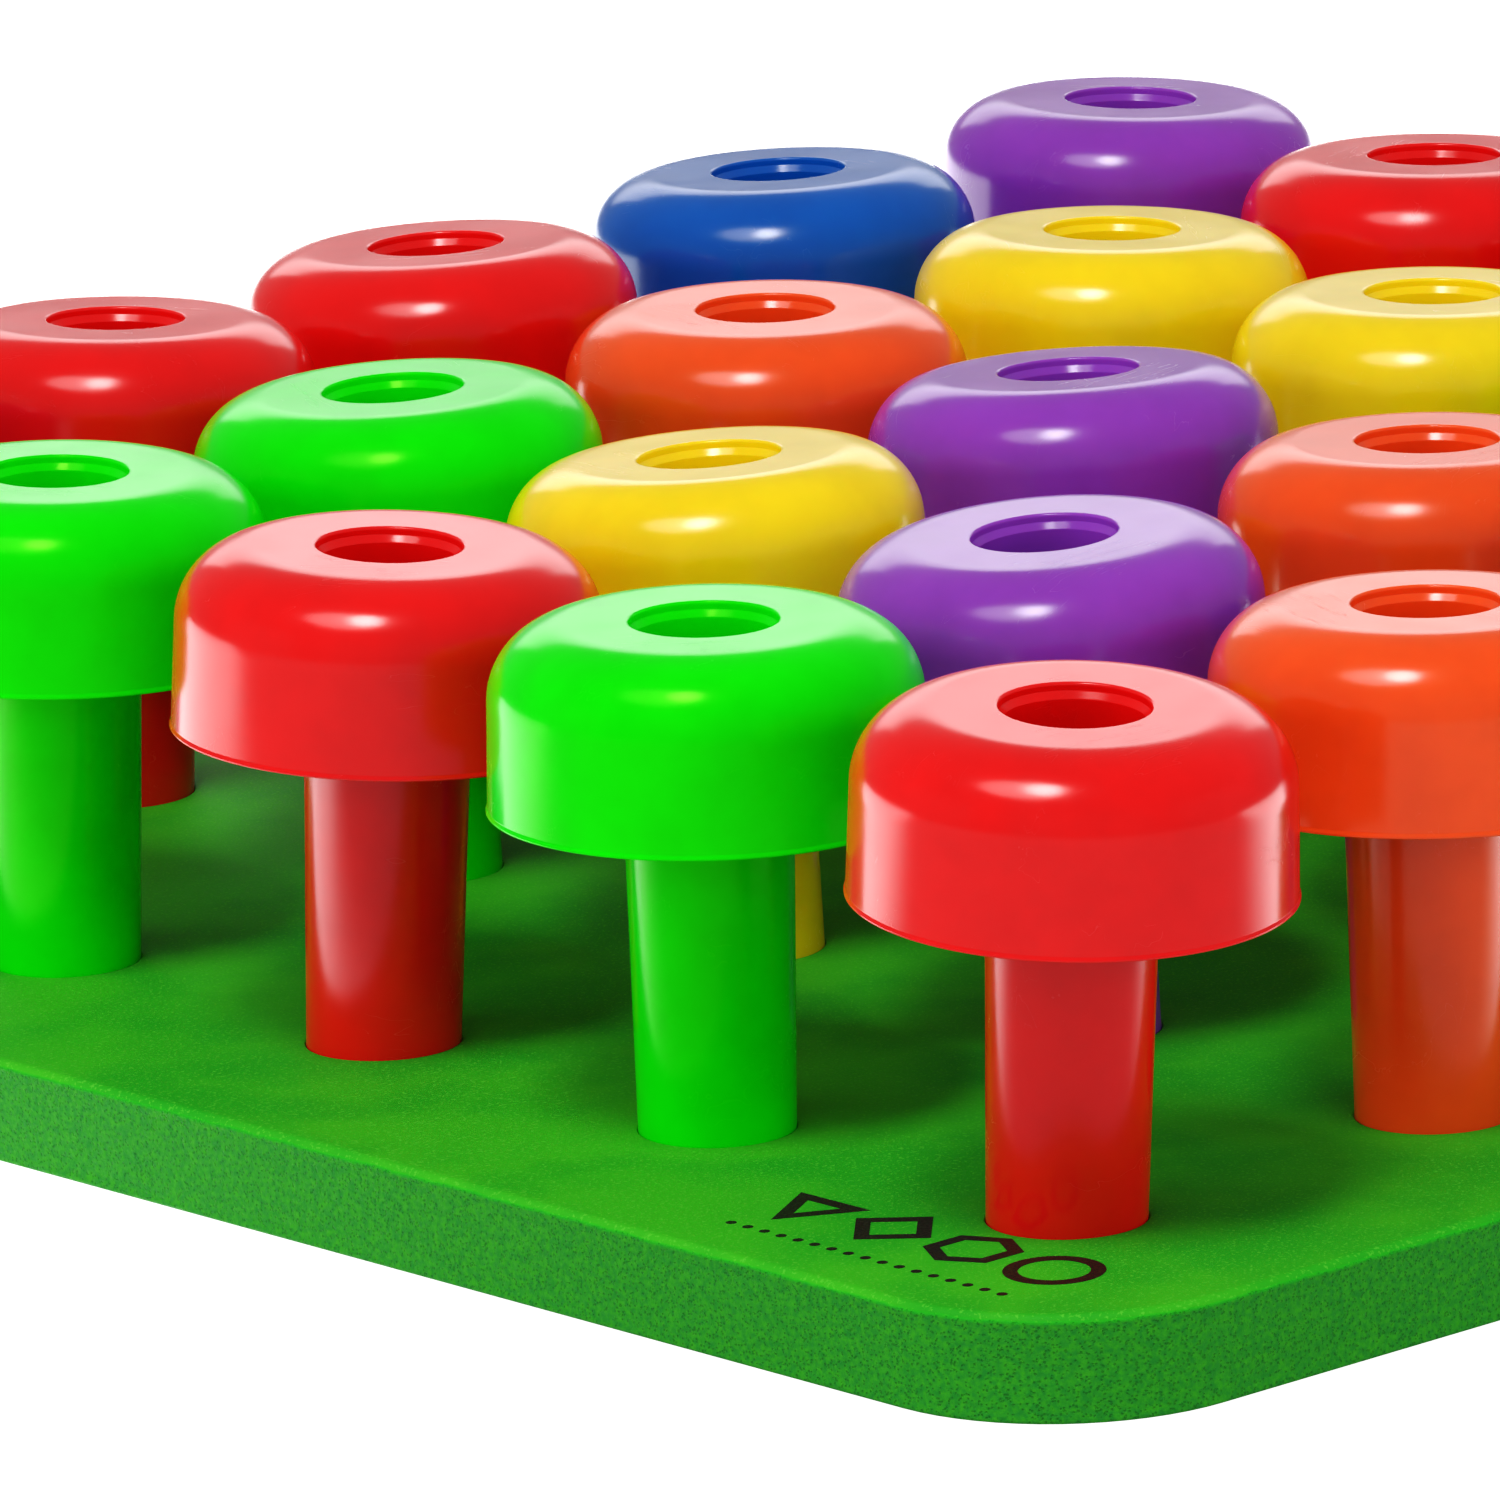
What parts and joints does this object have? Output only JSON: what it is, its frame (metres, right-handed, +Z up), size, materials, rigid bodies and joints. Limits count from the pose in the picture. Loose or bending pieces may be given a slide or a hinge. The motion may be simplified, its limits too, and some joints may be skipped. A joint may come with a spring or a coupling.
{
  "type": "stacking peg board",
  "caption": "Square foam board with a grid of holes, holding mushroom-shaped hollow plastic pegs that pull out, plug back in and stack in each other's tops.",
  "frame": {"origin": "middle of the board's underside, on the surface the board lies on", "axes": "+Z up out of the pegs' tops; +X along the columns 1 to 5; +Y along the rows a to e; peg a1 stands at the corner of -X and -Y"},
  "size_m": [0.241, 0.241, 0.0581],
  "materials": {
    "foam_green": "closed-cell foam, fine-grained skin on top, cut cells on the sides",
    "plastic_red": "glossy moulded plastic",
    "plastic_green": "glossy moulded plastic",
    "plastic_orange": "glossy moulded plastic",
    "plastic_yellow": "glossy moulded plastic",
    "plastic_purple": "glossy moulded plastic",
    "plastic_blue": "glossy moulded plastic"
  },
  "bodies": {
    "board": {"board": "foam_green"},
    "peg_a1": {"peg_a1": "plastic_red"},
    "peg_a2": {"peg_a2": "plastic_orange"},
    "peg_a3": {"peg_a3": "plastic_blue"},
    "peg_a4": {"peg_a4": "plastic_yellow"},
    "peg_a5": {"peg_a5": "plastic_purple"},
    "peg_b1": {"peg_b1": "plastic_green"},
    "peg_b2": {"peg_b2": "plastic_purple"},
    "peg_b3": {"peg_b3": "plastic_orange"},
    "peg_b4": {"peg_b4": "plastic_green"},
    "peg_b5": {"peg_b5": "plastic_blue"},
    "peg_c1": {"peg_c1": "plastic_red"},
    "peg_c2": {"peg_c2": "plastic_yellow"},
    "peg_c3": {"peg_c3": "plastic_purple"},
    "peg_c4": {"peg_c4": "plastic_yellow"},
    "peg_c5": {"peg_c5": "plastic_orange"},
    "peg_d1": {"peg_d1": "plastic_green"},
    "peg_d2": {"peg_d2": "plastic_green"},
    "peg_d3": {"peg_d3": "plastic_orange"},
    "peg_d4": {"peg_d4": "plastic_yellow"},
    "peg_d5": {"peg_d5": "plastic_red"},
    "peg_e1": {"peg_e1": "plastic_blue"},
    "peg_e2": {"peg_e2": "plastic_red"},
    "peg_e3": {"peg_e3": "plastic_red"},
    "peg_e4": {"peg_e4": "plastic_blue"},
    "peg_e5": {"peg_e5": "plastic_purple"}
  },
  "joints": [
    {"name": "lift_a1", "type": "slide", "parent": "board", "child": "peg_a1", "axis": [-0.0087, -0.0698, 0.9975], "range_m": [0, 0.012]},
    {"name": "lift_a2", "type": "slide", "parent": "board", "child": "peg_a2", "axis": [0.0175, 0.0087, 0.9998], "range_m": [0, 0.012]},
    {"name": "lift_a3", "type": "slide", "parent": "board", "child": "peg_a3", "axis": [0.0087, -0.0175, 0.9998], "range_m": [0, 0.012]},
    {"name": "lift_a4", "type": "slide", "parent": "board", "child": "peg_a4", "axis": [-0.0175, 0.0087, 0.9998], "range_m": [0, 0.012]},
    {"name": "lift_a5", "type": "slide", "parent": "board", "child": "peg_a5", "axis": [0, 0.0175, 0.9998], "range_m": [0, 0.012]},
    {"name": "lift_b1", "type": "slide", "parent": "board", "child": "peg_b1", "axis": [0, -0.0087, 1], "range_m": [0, 0.012]},
    {"name": "lift_b2", "type": "slide", "parent": "board", "child": "peg_b2", "axis": [-0.0523, 0.0174, 0.9985], "range_m": [0, 0.012]},
    {"name": "lift_b3", "type": "slide", "parent": "board", "child": "peg_b3", "axis": [0.0262, 0.0174, 0.9995], "range_m": [0, 0.012]},
    {"name": "lift_b4", "type": "slide", "parent": "board", "child": "peg_b4", "axis": [0.0174, -0.0262, 0.9995], "range_m": [0, 0.012]},
    {"name": "lift_b5", "type": "slide", "parent": "board", "child": "peg_b5", "axis": [-0.0087, -0.0175, 0.9998], "range_m": [0, 0.012]},
    {"name": "lift_c1", "type": "slide", "parent": "board", "child": "peg_c1", "axis": [0.0262, -0.0436, 0.9987], "range_m": [0, 0.012]},
    {"name": "lift_c2", "type": "slide", "parent": "board", "child": "peg_c2", "axis": [-0.0087, 0.061, 0.9981], "range_m": [0, 0.012]},
    {"name": "lift_c3", "type": "slide", "parent": "board", "child": "peg_c3", "axis": [0.0174, 0.0697, 0.9974], "range_m": [0, 0.012]},
    {"name": "lift_c4", "type": "slide", "parent": "board", "child": "peg_c4", "axis": [0.0349, 0.0087, 0.9994], "range_m": [0, 0.012]},
    {"name": "lift_c5", "type": "slide", "parent": "board", "child": "peg_c5", "axis": [0.0087, -0.0087, 0.9999], "range_m": [0, 0.012]},
    {"name": "lift_d1", "type": "slide", "parent": "board", "child": "peg_d1", "axis": [0.0174, -0.0174, 0.9997], "range_m": [0, 0.012]},
    {"name": "lift_d2", "type": "slide", "parent": "board", "child": "peg_d2", "axis": [-0.0174, 0.0349, 0.9992], "range_m": [0, 0.012]},
    {"name": "lift_d3", "type": "slide", "parent": "board", "child": "peg_d3", "axis": [0.0087, 0, 1], "range_m": [0, 0.012]},
    {"name": "lift_d4", "type": "slide", "parent": "board", "child": "peg_d4", "axis": [0.0436, 0.0087, 0.999], "range_m": [0, 0.012]},
    {"name": "lift_d5", "type": "slide", "parent": "board", "child": "peg_d5", "axis": [0.0436, 0.0174, 0.9989], "range_m": [0, 0.012]},
    {"name": "lift_e1", "type": "slide", "parent": "board", "child": "peg_e1", "axis": [0.0349, 0.0349, 0.9988], "range_m": [0, 0.012]},
    {"name": "lift_e2", "type": "slide", "parent": "board", "child": "peg_e2", "axis": [0.0523, 0.0174, 0.9985], "range_m": [0, 0.012]},
    {"name": "lift_e3", "type": "slide", "parent": "board", "child": "peg_e3", "axis": [0, 0.0523, 0.9986], "range_m": [0, 0.012]},
    {"name": "lift_e4", "type": "slide", "parent": "board", "child": "peg_e4", "axis": [0.0087, 0.0436, 0.999], "range_m": [0, 0.012]},
    {"name": "lift_e5", "type": "slide", "parent": "board", "child": "peg_e5", "axis": [0.0523, 0, 0.9986], "range_m": [0, 0.012]}
  ]
}
